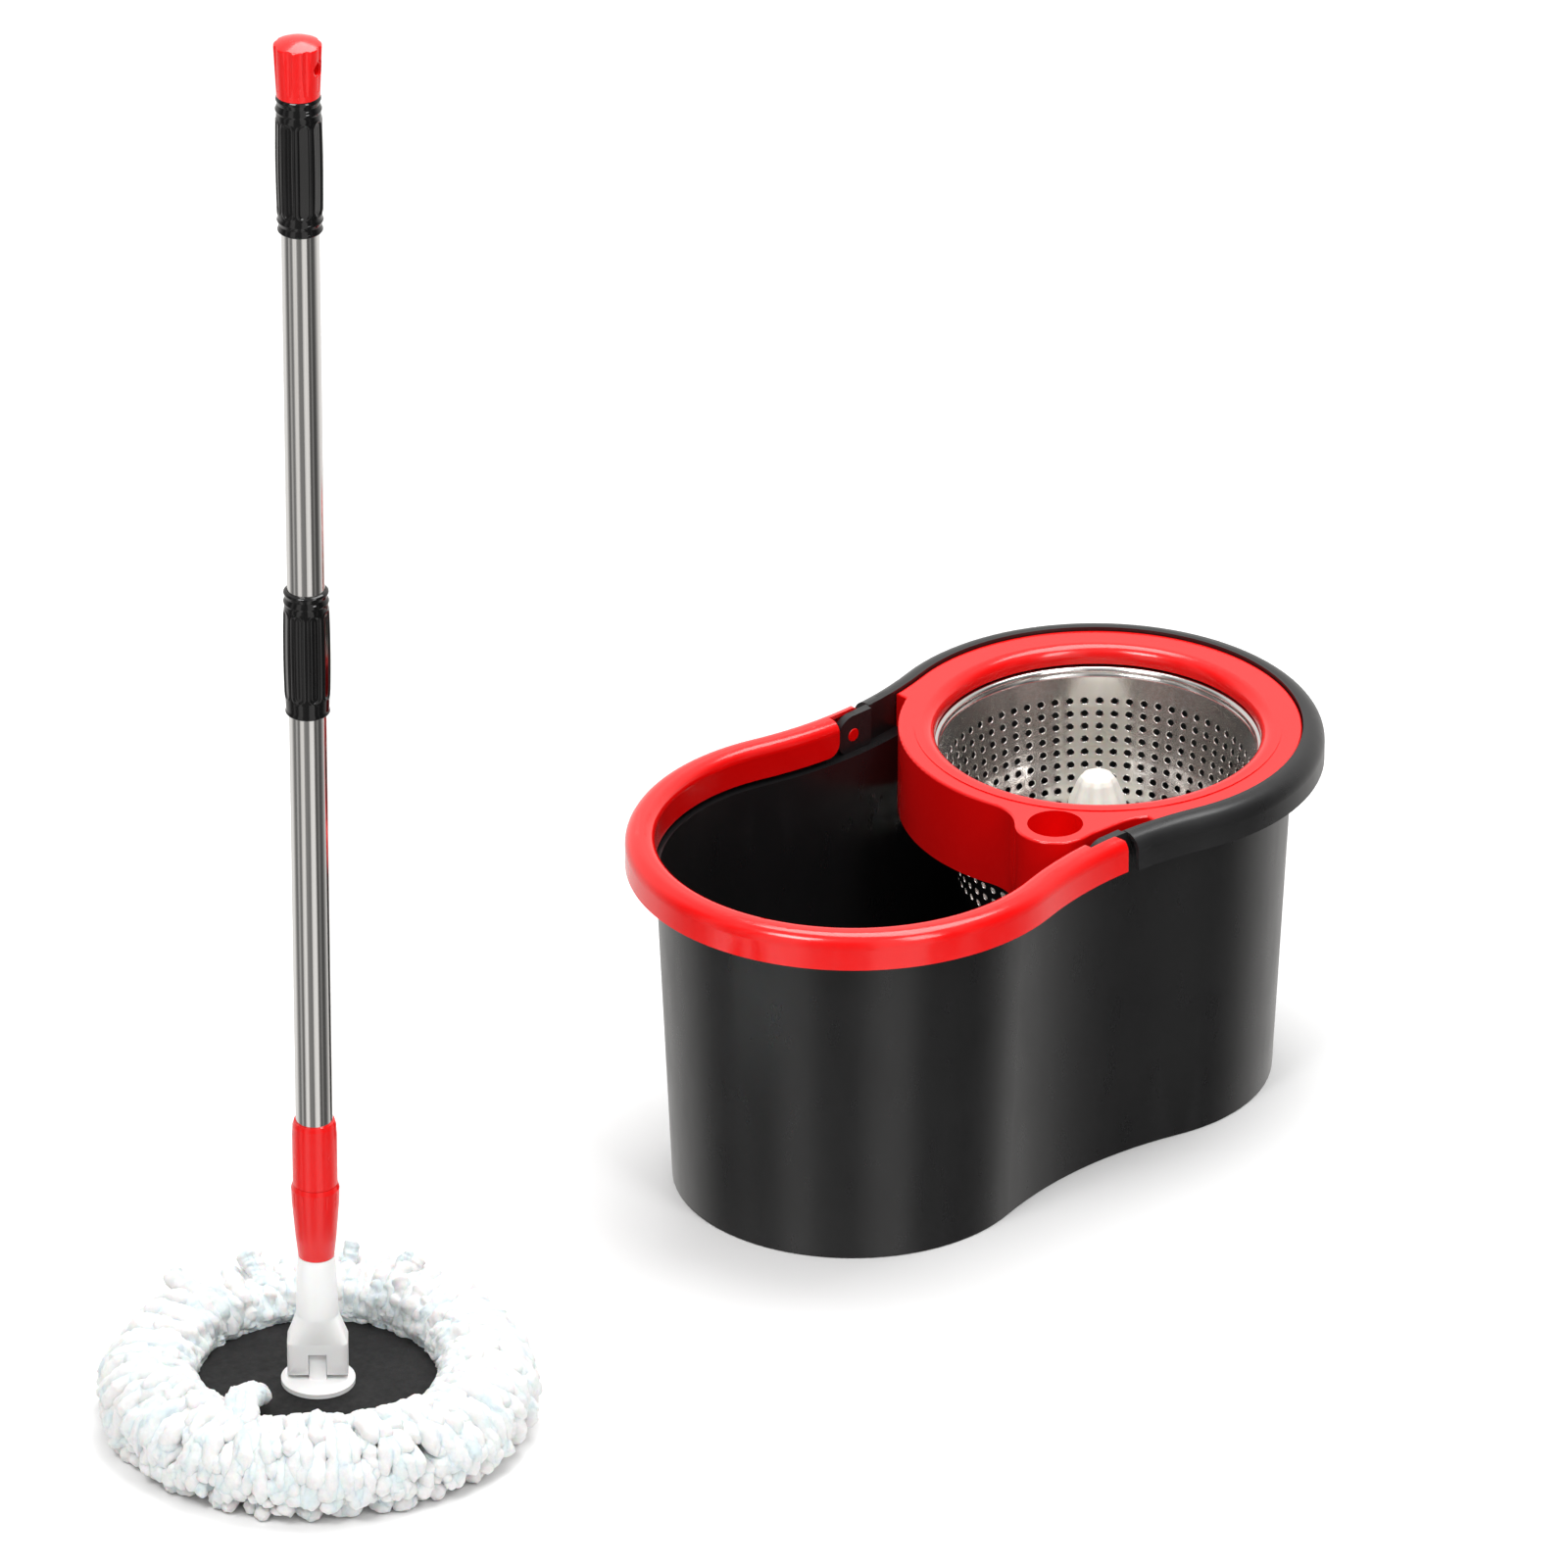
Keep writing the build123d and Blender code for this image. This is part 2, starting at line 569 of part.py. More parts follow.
def make_drive_nut():
    """Slotted plug at the inner tube's top; the strip turns it."""
    high = INNER_TUBE_TOP_Z
    body = rod(INNER_TUBE_R - TUBE_SKIN, high - 8, high) + rod(INNER_TUBE_R, high, high + 2)
    return body - twisted(0.3, high - 9, high + 3)


def make_strip_plug():
    low = STRIP_TOP_Z - 12
    plug = rod(TUBE_R - TUBE_SKIN, low, STRIP_TOP_Z + 4)
    return plug - twisted(0.0, low - 1, STRIP_TOP_Z)


def make_tube_connector():
    """Screwed joint between the two outer tubes, hidden in the mid sleeve."""
    bore = 7.0
    connector = tube(TUBE_R - TUBE_SKIN, bore, JOIN_Z - 28, JOIN_Z + 28)
    for i in range(5):
        groove = tube(TUBE_R, TUBE_R - TUBE_SKIN - 0.8, JOIN_Z + 6 + 4 * i, JOIN_Z + 8 + 4 * i)
        connector = connector - groove
    return connector


def long_panels(low, high, width, radius, depth, count, phase):
    """Cutters for long oval recesses spaced round a barrel-shaped grip."""
    cutters = []
    for i in range(count):
        oval = SlotOverall(high - low, width, rotation=90)
        sheet = Plane(origin=(0, radius - depth, (low + high) / 2), x_dir=(1, 0, 0), z_dir=(0, 1, 0)) * oval
        cutters.append(Rot(0, 0, phase + 360 / count * i) * extrude(sheet, 4.0))
    return cutters


def barrel(low, high, end_r, mid_r, bore_r):
    """A sleeve that swells slightly towards its middle."""
    middle = (low + high) / 2
    swell = ThreePointArc((end_r, 0, low), (mid_r, 0, middle), (end_r, 0, high))
    outline = [swell, Line((end_r, 0, high), (bore_r, 0, high)), Line((bore_r, 0, high), (bore_r, 0, low)),
               Line((bore_r, 0, low), (end_r, 0, low))]
    return revolve(make_face(outline), Axis.Z)


def make_mid_sleeve():
    sleeve = barrel(SLEEVE_LOW_Z, SLEEVE_TOP_Z, 13.2, 14.4, TUBE_R)
    sleeve = chamfer(sleeve.edges().filter_by(GeomType.CIRCLE).filter_by(lambda e: e.radius > 13), 0.8)
    for cutter in long_panels(SLEEVE_LOW_Z + 12, SLEEVE_TOP_Z - 14, 8.0, 14.3, 0.9, 6, 15):
        sleeve = sleeve - cutter
    ring = tube(15.5, 13.0, SLEEVE_LOW_Z + 5, SLEEVE_LOW_Z + 6)
    return sleeve - ring


def make_grip():
    grip = barrel(GRIP_LOW_Z, CAP_LOW_Z, 13.4, 14.6, TUBE_R)
    for cutter in long_panels(GRIP_LOW_Z + 12, CAP_LOW_Z - 14, 7.0, 14.5, 1.0, 6, 15):
        grip = grip - cutter
    ring = tube(15.5, 13.0, GRIP_LOW_Z + 5, GRIP_LOW_Z + 6)
    return grip - ring


def make_hang_cap():
    """End cap with shallow flutes, side dishes and a cross hole to hang the mop by."""
    low = CAP_LOW_Z
    crown = CAP_TOP_Z
    edge_r = 14.6
    edge_drop = 3.2
    dome_r = (edge_r**2 + edge_drop**2) / (2 * edge_drop)
    half_turn = math.asin(edge_r / dome_r) / 2
    dome_mid = (dome_r * math.sin(half_turn), 0, crown - dome_r * (1 - math.cos(half_turn)))
    outline = [Line((0, 0, low), (13.2, 0, low)), Line((13.2, 0, low), (edge_r, 0, crown - edge_drop)),
               ThreePointArc((edge_r, 0, crown - edge_drop), dome_mid, (0, 0, crown)),
               Line((0, 0, crown), (0, 0, low))]
    cap = revolve(make_face(outline), Axis.Z)
    rim = cap.edges().filter_by(GeomType.CIRCLE).filter_by(lambda e: abs(e.radius - edge_r) < 0.01)
    cap = fillet(rim, 1.4)
    for i in range(8):
        angle = math.radians(45 * i + 22.5)
        cap = cap - rod(5.0, low + 4, crown + 5, x=18.1 * math.cos(angle), y=18.1 * math.sin(angle))
    across = rod_along_x(HANG_R, HANG_Z, -20, 20)
    for side in (-1, 1):
        dish = rod_along_x(5.6, HANG_Z, *sorted((side * 12.2, side * 20)))
        across = across + dish
    cap = cap - Rot(0, 0, HANG_TURN) * across
    return cap - rod(TUBE_R, low - 1, low + 9)


# ---------------------------------------------------------------- assembly

BUCKET = {
    "bucket_body": make_bucket_body,
    "splash_deck": make_splash_deck,
    "spindle_pin": lambda: at_spindle(make_spindle_pin()),
    "basket_bowl": lambda: at_spindle(make_basket_bowl()),
    "basket_post": lambda: at_spindle(make_basket_post()),
    "basket_base": lambda: at_spindle(make_basket_base()),
    "basket_screws": lambda: at_spindle(make_basket_screws()),
    "spindle_bush": lambda: at_spindle(make_spindle_bush()),
    "carry_handle": make_carry_handle,
    "handle_pins": make_handle_pins,
}

MOP = {
    "mop_fibres": make_mop_fibres,
    "fibre_plate": make_fibre_plate,
    "mop_disc": make_mop_disc,
    "disc_hub": make_disc_hub,
    "hub_screws": make_hub_screws,
    "hinge_pin": make_hinge_pin,
    "fork": make_fork,
    "neck_sleeve": make_neck_sleeve,
    "inner_tube": make_inner_tube,
    "drive_nut": make_drive_nut,
    "lock_collar": make_lock_collar,
    "guide_bush": make_guide_bush,
    "tube_collar": make_tube_collar,
    "lower_tube": make_lower_tube,
    "twisted_strip": make_twisted_strip,
    "strip_plug": make_strip_plug,
    "tube_connector": make_tube_connector,
    "mid_sleeve": make_mid_sleeve,
    "upper_tube": make_upper_tube,
    "grip": make_grip,
    "hang_cap": make_hang_cap,
}


def main():
    os.makedirs("parts", exist_ok=True)
    places = ((BUCKET, Pos(BUCKET_X, 0, 0)), (MOP, Pos(MOP_X, 0, 0) * Rot(0, 0, MOP_YAW)))
    for makers, place in places:
        for name, make in makers.items():
            export_step(place * make(), "parts/" + name + ".step")


main()
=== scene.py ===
import json
import math

import bpy
import numpy as np
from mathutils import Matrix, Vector


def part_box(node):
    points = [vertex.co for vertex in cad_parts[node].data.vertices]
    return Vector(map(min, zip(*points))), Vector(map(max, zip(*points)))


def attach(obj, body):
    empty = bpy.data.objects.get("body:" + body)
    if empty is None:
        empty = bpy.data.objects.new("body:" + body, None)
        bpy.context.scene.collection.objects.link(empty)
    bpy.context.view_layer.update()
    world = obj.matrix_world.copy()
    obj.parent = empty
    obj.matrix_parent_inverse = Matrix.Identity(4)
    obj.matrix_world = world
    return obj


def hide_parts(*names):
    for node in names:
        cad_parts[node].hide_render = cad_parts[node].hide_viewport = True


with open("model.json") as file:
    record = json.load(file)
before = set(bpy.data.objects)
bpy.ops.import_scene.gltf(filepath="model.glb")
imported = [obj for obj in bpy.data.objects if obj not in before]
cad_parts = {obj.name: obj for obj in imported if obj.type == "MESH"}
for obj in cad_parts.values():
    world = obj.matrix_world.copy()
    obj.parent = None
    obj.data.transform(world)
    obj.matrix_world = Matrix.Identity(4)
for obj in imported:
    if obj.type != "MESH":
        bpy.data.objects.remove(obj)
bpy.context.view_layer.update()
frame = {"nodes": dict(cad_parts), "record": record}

# Everything is in metres, in the CAD model's frame: bucket towards +X, mop towards -X.
MM = 0.001
VIEW_AZIMUTH = -43.2      # degrees; 0 looks along +Y
VIEW_ELEVATION = 28.0
VIEW_DISTANCE = 10.0
FRAME_PIXELS = 1600
PIXELS_PER_METRE = 1648   # of the object, in a 1600 pixel frame
SENSOR = 36.0


# ---------------------------------------------------------------- places from the frame

def middle(node):
    low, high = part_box(node)
    return (low + high) / 2


MOP_AXIS = middle("mop_disc")
SPIN_AXIS = middle("basket_bowl")


# ---------------------------------------------------------------- mesh helpers

def new_piece(name, vertices, faces, smooth=True):
    """A mesh object from plain lists, in the frame's coordinates, in metres."""
    mesh = bpy.data.meshes.new(name)
    mesh.from_pydata([tuple(v) for v in vertices], [], faces)
    mesh.update()
    if smooth:
        mesh.shade_smooth()
    piece = bpy.data.objects.new(name, mesh)
    bpy.context.scene.collection.objects.link(piece)
    return piece


def grid_faces(rows, columns, first=0, closed=True):
    """Quads between rows of points; closed joins the last column to the first."""
    faces = []
    last = columns if closed else columns - 1
    for j in range(rows - 1):
        for i in range(last):
            k = (i + 1) % columns
            a = first + j * columns
            b = a + columns
            faces.append((a + i, a + k, b + k, b + i))
    return faces


# ---------------------------------------------------------------- material helpers

class Shader:
    """A small builder round one Principled material."""

    def __init__(self, name, colour, roughness, metallic=0.0):
        self.material = bpy.data.materials.new(name)
        self.material.use_nodes = True
        self.tree = self.material.node_tree
        self.bsdf = self.tree.nodes["Principled BSDF"]
        self.bsdf.inputs["Base Color"].default_value = (*colour, 1.0)
        self.bsdf.inputs["Roughness"].default_value = roughness
        self.bsdf.inputs["Metallic"].default_value = metallic
        self.place = self.tree.nodes.new("ShaderNodeTexCoord").outputs["Object"]
        self.normal = None

    def set(self, socket, value):
        self.bsdf.inputs[socket].default_value = value
        return self

    def stretched(self, scale):
        """Object coordinates, scaled unevenly for grain with a direction."""
        mapping = self.tree.nodes.new("ShaderNodeMapping")
        mapping.inputs["Scale"].default_value = scale
        self.tree.links.new(self.place, mapping.inputs["Vector"])
        return mapping.outputs["Vector"]

    def noise(self, scale, detail=4.0, place=None, rough=0.55):
        node = self.tree.nodes.new("ShaderNodeTexNoise")
        node.inputs["Scale"].default_value = scale
        node.inputs["Detail"].default_value = detail
        node.inputs["Roughness"].default_value = rough
        self.tree.links.new(place or self.place, node.inputs["Vector"])
        return node.outputs["Fac"]

    def cells(self, scale):
        node = self.tree.nodes.new("ShaderNodeTexVoronoi")
        node.inputs["Scale"].default_value = scale
        self.tree.links.new(self.place, node.inputs["Vector"])
        return node.outputs["Distance"]

    def ramp(self, factor, low, high, start=0.3, end=0.7):
        """Maps a factor onto a pair of colours."""
        node = self.tree.nodes.new("ShaderNodeValToRGB")
        node.color_ramp.elements[0].position = start
        node.color_ramp.elements[1].position = end
        node.color_ramp.elements[0].color = (*low, 1.0)
        node.color_ramp.elements[1].color = (*high, 1.0)
        self.tree.links.new(factor, node.inputs["Fac"])
        return node.outputs["Color"]

    def between(self, factor, low, high, start=0.3, end=0.7):
        """Maps a factor onto a range of numbers."""
        node = self.tree.nodes.new("ShaderNodeMapRange")
        node.inputs["From Min"].default_value = start
        node.inputs["From Max"].default_value = end
        node.inputs["To Min"].default_value = low
        node.inputs["To Max"].default_value = high
        self.tree.links.new(factor, node.inputs["Value"])
        return node.outputs["Result"]

    def colour_from(self, output):
        self.tree.links.new(output, self.bsdf.inputs["Base Color"])
        return self

    def roughness_from(self, output):
        self.tree.links.new(output, self.bsdf.inputs["Roughness"])
        return self

    def bump(self, height, strength, distance):
        node = self.tree.nodes.new("ShaderNodeBump")
        node.inputs["Strength"].default_value = strength
        node.inputs["Distance"].default_value = distance
        self.tree.links.new(height, node.inputs["Height"])
        if self.normal is not None:
            self.tree.links.new(self.normal, node.inputs["Normal"])
        self.normal = node.outputs["Normal"]
        self.tree.links.new(self.normal, self.bsdf.inputs["Normal"])
        return self

    def worn_edges(self, base, worn, amount=0.55):
        """Lightens convex edges a little, as handling does."""
        geometry = self.tree.nodes.new("ShaderNodeNewGeometry")
        edge = self.between(geometry.outputs["Pointiness"], 0.0, 1.0, 0.53, 0.62)
        breakup = self.noise(240.0, 5.0)
        both = self.tree.nodes.new("ShaderNodeMath")
        both.operation = "MULTIPLY"
        self.tree.links.new(edge, both.inputs[0])
        self.tree.links.new(breakup, both.inputs[1])
        mix = self.tree.nodes.new("ShaderNodeMix")
        mix.data_type = "RGBA"
        mix.inputs["B"].default_value = (*worn, 1.0)
        scaled = self.between(both.outputs[0], 0.0, amount, 0.0, 1.0)
        self.tree.links.new(scaled, mix.inputs["Factor"])
        self.tree.links.new(base, mix.inputs["A"])
        return self.colour_from(mix.outputs["Result"])


def gloss_plastic(name, dark, light, roughness, coat):
    """Glossy moulded plastic: faint colour drift, orange peel and fine scuffs."""
    shader = Shader(name, dark, roughness)
    drift = shader.ramp(shader.noise(9.0, 3.0), dark, light)
    worn = tuple(min(1.0, c * 1.25 + 0.02) for c in light)
    shader.worn_edges(drift, worn, 0.35)
    scuffs = shader.noise(160.0, 6.0, shader.stretched((1.0, 1.0, 0.25)))
    shader.roughness_from(shader.between(scuffs, roughness * 0.8, roughness * 1.5, 0.3, 0.75))
    shader.bump(shader.noise(150.0, 3.0), 0.03, 0.0006)
    shader.bump(shader.noise(1400.0, 2.0), 0.02, 0.0002)
    shader.set("Coat Weight", coat).set("Coat Roughness", 0.06)
    return shader.material


def moulded_black(name):
    """Bucket shell: satin black polypropylene with a fine spark-eroded grain."""
    dark, light = (0.008, 0.008, 0.0085), (0.013, 0.013, 0.0135)
    shader = Shader(name, dark, 0.20)
    drift = shader.ramp(shader.noise(6.0, 4.0), dark, light)
    shader.worn_edges(drift, (0.045, 0.045, 0.047), 0.4)
    wear = shader.noise(70.0, 6.0, shader.stretched((1.0, 1.0, 0.35)))
    shader.roughness_from(shader.between(wear, 0.26, 0.33))
    shader.bump(shader.cells(1100.0), 0.02, 0.0002)
    shader.bump(shader.noise(1500.0, 2.0), 0.03, 0.0002)
    shader.set("Specular IOR Level", 0.5)
    return shader.material


def wet_black(name):
    """Grips: deep black plastic with a wet shine and barely any grain."""
    dark, light = (0.0015, 0.0015, 0.0016), (0.0040, 0.0040, 0.0043)
    shader = Shader(name, dark, 0.07)
    drift = shader.ramp(shader.noise(30.0, 4.0), dark, light)
    shader.worn_edges(drift, (0.012, 0.012, 0.013), 0.3)
    smears = shader.noise(90.0, 5.0, shader.stretched((1.0, 1.0, 0.3)))
    shader.roughness_from(shader.between(smears, 0.05, 0.11))
    shader.bump(shader.noise(260.0, 3.0), 0.05, 0.0004)
    shader.set("Specular IOR Level", 0.55)
    return shader.material


def matte_black(name):
    """Mop disc: dull black plastic with a pebbled grain."""
    dark, light = (0.008, 0.008, 0.008), (0.013, 0.013, 0.0135)
    shader = Shader(name, dark, 0.62)
    shader.set("Specular IOR Level", 0.18)
    shader.colour_from(shader.ramp(shader.noise(40.0, 5.0), dark, light))
    shader.roughness_from(shader.between(shader.noise(220.0, 5.0), 0.52, 0.72))
    shader.bump(shader.cells(1100.0), 0.18, 0.0003)
    return shader.material


def satin_white(name, base, glow=0.12):
    """White or cream moulded plastic, slightly translucent."""
    shade = tuple(c * 0.94 for c in base)
    shader = Shader(name, base, 0.34)
    shader.colour_from(shader.ramp(shader.noise(25.0, 4.0), shade, base))
    shader.roughness_from(shader.between(shader.noise(180.0, 5.0), 0.28, 0.44))
    shader.bump(shader.noise(420.0, 3.0), 0.05, 0.0004)
    shader.set("Subsurface Weight", glow).set("Subsurface Scale", 0.004)
    return shader.material


def plain_plastic(name, base):
    """Hidden plastic pieces: flat moulded finish with a light grain."""
    shader = Shader(name, base, 0.5)
    light = tuple(min(1.0, c * 1.2 + 0.01) for c in base)
    shader.colour_from(shader.ramp(shader.noise(60.0, 4.0), base, light))
    shader.roughness_from(shader.between(shader.noise(300.0, 4.0), 0.42, 0.58))
    shader.bump(shader.noise(700.0, 3.0), 0.08, 0.0003)
    return shader.material


def drawn_tube(name):
    """Polished stainless tube with drawing marks along its length."""
    shader = Shader(name, (0.80, 0.79, 0.775), 0.12, metallic=1.0)
    along = shader.stretched((900.0, 900.0, 3.0))
    streaks = shader.noise(1.0, 5.0, along)
    shader.colour_from(shader.ramp(streaks, (0.70, 0.685, 0.665), (0.86, 0.855, 0.845)))
    shader.roughness_from(shader.between(streaks, 0.07, 0.19))
    shader.bump(streaks, 0.05, 0.0002)
    return shader.material


def pressed_steel(name):
    """Basket sheet: bright stainless, softly uneven from deep drawing."""
    shader = Shader(name, (0.72, 0.705, 0.685), 0.2, metallic=1.0)
    cloud = shader.noise(20.0, 3.0)
    shader.colour_from(shader.ramp(cloud, (0.64, 0.615, 0.59), (0.76, 0.745, 0.73)))
    grain = shader.noise(1.0, 6.0, shader.stretched((420.0, 420.0, 90.0)))
    shader.roughness_from(shader.between(grain, 0.11, 0.17))
    shader.bump(shader.noise(30.0, 2.0), 0.02, 0.002)
    shader.bump(grain, 0.02, 0.0001)
    return shader.material


def turned_steel(name):
    shader = Shader(name, (0.62, 0.62, 0.63), 0.25, metallic=1.0)
    rings = shader.noise(1.0, 3.0, shader.stretched((60.0, 60.0, 2500.0)))
    shader.roughness_from(shader.between(rings, 0.18, 0.36))
    shader.bump(rings, 0.08, 0.0002)
    return shader.material


def chenille(name):
    """White microfibre pile: very pale, soft-edged, with a fine fuzzy relief."""
    shader = Shader(name, (0.80, 0.80, 0.80), 0.95)
    clumps = shader.noise(330.0, 6.0, rough=0.7)
    shader.colour_from(shader.ramp(clumps, (0.72, 0.722, 0.724), (0.80, 0.80, 0.797), 0.25, 0.6))
    shader.bump(clumps, 0.35, 0.0010)
    shader.bump(shader.noise(1500.0, 4.0, rough=0.75), 0.45, 0.0005)
    shader.set("Sheen Weight", 0.1).set("Sheen Roughness", 0.5)
    shader.set("Subsurface Weight", 0.3).set("Subsurface Scale", 0.004)
    shader.set("Specular IOR Level", 0.1)
    return shader.material


def make_materials():
    red_dark, red_light = (0.74, 0.0018, 0.0016), (0.80, 0.003, 0.003)
    return {
        "black_shell": moulded_black("black_shell"),
        "red_gloss": gloss_plastic("red_gloss", red_dark, red_light, 0.16, coat=0.25),
        "collar_red": gloss_plastic("collar_red", red_dark, red_light, 0.2, coat=0.2),
        "grip_black": wet_black("grip_black"),
        "basket_steel": pressed_steel("basket_steel"),
        "tube_steel": drawn_tube("tube_steel"),
        "bright_steel": turned_steel("bright_steel"),
        "post_plastic": satin_white("post_plastic", (0.82, 0.82, 0.755), 0.25),
        "hub_white": satin_white("hub_white", (0.94, 0.94, 0.935)),
        "disc_black": matte_black("disc_black"),
        "base_plastic": plain_plastic("base_plastic", (0.05, 0.05, 0.053)),
        "bearing_plastic": plain_plastic("bearing_plastic", (0.70, 0.70, 0.66)),
        "microfibre": chenille("microfibre"),
    }


def finish_piece(piece, body, slot, materials, *nodes):
    """Material, body and the CAD nodes that a new piece stands for."""
    piece.data.materials.append(materials[slot])
    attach(piece, body)
    if nodes:
        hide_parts(*nodes)


def dress_cad_nodes(materials):
    for entry in frame["record"]["subparts"]:
        node = frame["nodes"][entry["node"]]
        node.data.materials.clear()
        node.data.materials.append(materials[entry["material_slot"]])


# ---------------------------------------------------------------- basket bowl

COLUMNS = 64              # holes round the bowl
HOLE_ROWS = 9
HOLE_R = 2.15 * MM
ROW_PITCH = 8.6 * MM
SIDES = 16                # points round a hole
PER_CELL = SIDES // 4     # wall segments per hole along an edge of its cell
SHEET = 0.9 * MM
RIM_BEAD_R = 2.5 * MM     # the bead's outer radius
FIRST_ROW_DROP = 19.5 * MM
CORNER_R = 10.0 * MM      # inside, between the wall and the floor
BEAD_CENTRE_R = 104.0 * MM
BEAD_CURL_R = 2.42 * MM   # of the rolled edge, about its own centre


def bowl_radius(z, low, high):
    """Inner radius of the bowl's straight wall at a height."""
    bottom_r = 86.6 * MM
    top_r = 101.3 * MM
    return bottom_r + (top_r - bottom_r) * (z - low) / (high - low)


def cell_angle(side_step):
    """Place across a cell, from -1 to 1, of a boundary point."""
    return math.tan(math.radians(-45 + 90 * side_step / PER_CELL))


def perforated_wall(low, high, first_row_z):
    """Points and faces of the pierced band: one cell of quads round each hole."""
    vertices, faces = [], []
    turn = math.pi / COLUMNS

    def wall_point(angle, z, push=0.0):
        r = bowl_radius(z, low, high) + push
        return (SPIN_AXIS.x + r * math.cos(angle), SPIN_AXIS.y + r * math.sin(angle), z)

    for row in range(HOLE_ROWS):
        z0 = first_row_z - row * ROW_PITCH
        r0 = bowl_radius(z0, low, high)
        for column in range(COLUMNS):
            a0 = 2 * turn * column
            base = len(vertices)
            for scale, push in ((1.0, 0.14 * MM), (1.22, 0.02 * MM), (1.42, 0.0)):
                for k in range(SIDES):
                    t = 2 * math.pi * k / SIDES
                    across = scale * HOLE_R * math.cos(t) / r0
                    vertices.append(wall_point(a0 + across, z0 + scale * HOLE_R * math.sin(t), push))
            for k in range(SIDES):
                t = 2 * math.pi * k / SIDES
                c, s = math.cos(t), math.sin(t)
                reach = 1.0 / max(abs(c), abs(s))
                vertices.append(wall_point(a0 + turn * c * reach, z0 + 0.5 * ROW_PITCH * s * reach))
            for ring in range(3):
                for k in range(SIDES):
                    n = (k + 1) % SIDES
                    a = base + ring * SIDES
                    b = a + SIDES
                    faces.append((a + k, b + k, b + n, a + n))
    return vertices, faces


def rim_angles():
    """Angles of the wall's columns, the same as along the edge of a cell."""
    turn = math.pi / COLUMNS
    angles = []
    for column in range(COLUMNS):
        for step in range(PER_CELL):
            angles.append(2 * turn * column + turn * cell_angle(step))
    return angles


def plain_band(profile, first):
    """Revolved rows of (radius, height) on the wall's own columns."""
    angles = rim_angles()
    vertices = []
    for r, z in profile:
        for a in angles:
            vertices.append((SPIN_AXIS.x + r * math.cos(a), SPIN_AXIS.y + r * math.sin(a), z))
    return vertices, grid_faces(len(profile), len(angles), first)


def make_basket_bowl(materials):
    low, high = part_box("basket_bowl")
    floor_z = low.z + SHEET
    rim_z = high.z - RIM_BEAD_R
    first_row_z = rim_z - FIRST_ROW_DROP
    band_top = first_row_z + ROW_PITCH / 2
    band_low = first_row_z - (HOLE_ROWS - 0.5) * ROW_PITCH
    vertices, faces = perforated_wall(low.z, rim_z, first_row_z)
    upper = [(bowl_radius(z, low.z, rim_z), z) for z in np.linspace(band_top, rim_z, 5)]
    corner_r = bowl_radius(floor_z + CORNER_R, low.z, rim_z) - CORNER_R
    lower = [(bowl_radius(band_low, low.z, rim_z), band_low)]
    for i in range(9):
        t = math.pi / 2 * i / 8
        lower.append((corner_r + CORNER_R * math.cos(t), floor_z + CORNER_R - CORNER_R * math.sin(t)))
    for r in (60 * MM, 40 * MM, 30.5 * MM):
        lower.append((r, floor_z))
    for profile in (upper, lower[::-1]):
        band, quads = plain_band(profile, len(vertices))
        vertices += band
        faces += quads
    bowl = new_piece("basket_sheet", vertices, faces)
    weld = bowl.modifiers.new("weld", "WELD")
    weld.merge_threshold = 0.00002
    thick = bowl.modifiers.new("sheet", "SOLIDIFY")
    thick.thickness = SHEET * 0.85
    thick.offset = 1.0
    apply_modifiers(bowl)
    finish_piece(bowl, "basket", "basket_steel", materials, "basket_bowl")
    roll = rolled_rim(rim_z)
    finish_piece(roll, "basket", "basket_steel", materials)


def rolled_rim(rim_z):
    """The bowl's rim, rolled outwards into a bead."""
    profile = []
    for i in range(21):
        t = math.radians(205 - 345 * i / 20)
        profile.append((BEAD_CENTRE_R + BEAD_CURL_R * math.cos(t), rim_z + BEAD_CURL_R * math.sin(t)))
    vertices, faces = plain_band(profile, 0)
    rim = new_piece("basket_rim", vertices, faces)
    thick = rim.modifiers.new("sheet", "SOLIDIFY")
    thick.thickness = 0.6 * MM
    thick.offset = -1.0
    apply_modifiers(rim)
    return rim


def apply_modifiers(piece):
    """Replaces the piece's mesh with the result of its modifiers."""
    graph = bpy.context.evaluated_depsgraph_get()
    graph.update()
    mesh = bpy.data.meshes.new_from_object(piece.evaluated_get(graph))
    piece.modifiers.clear()
    piece.data = mesh
    mesh.shade_smooth()


# ---------------------------------------------------------------- basket post

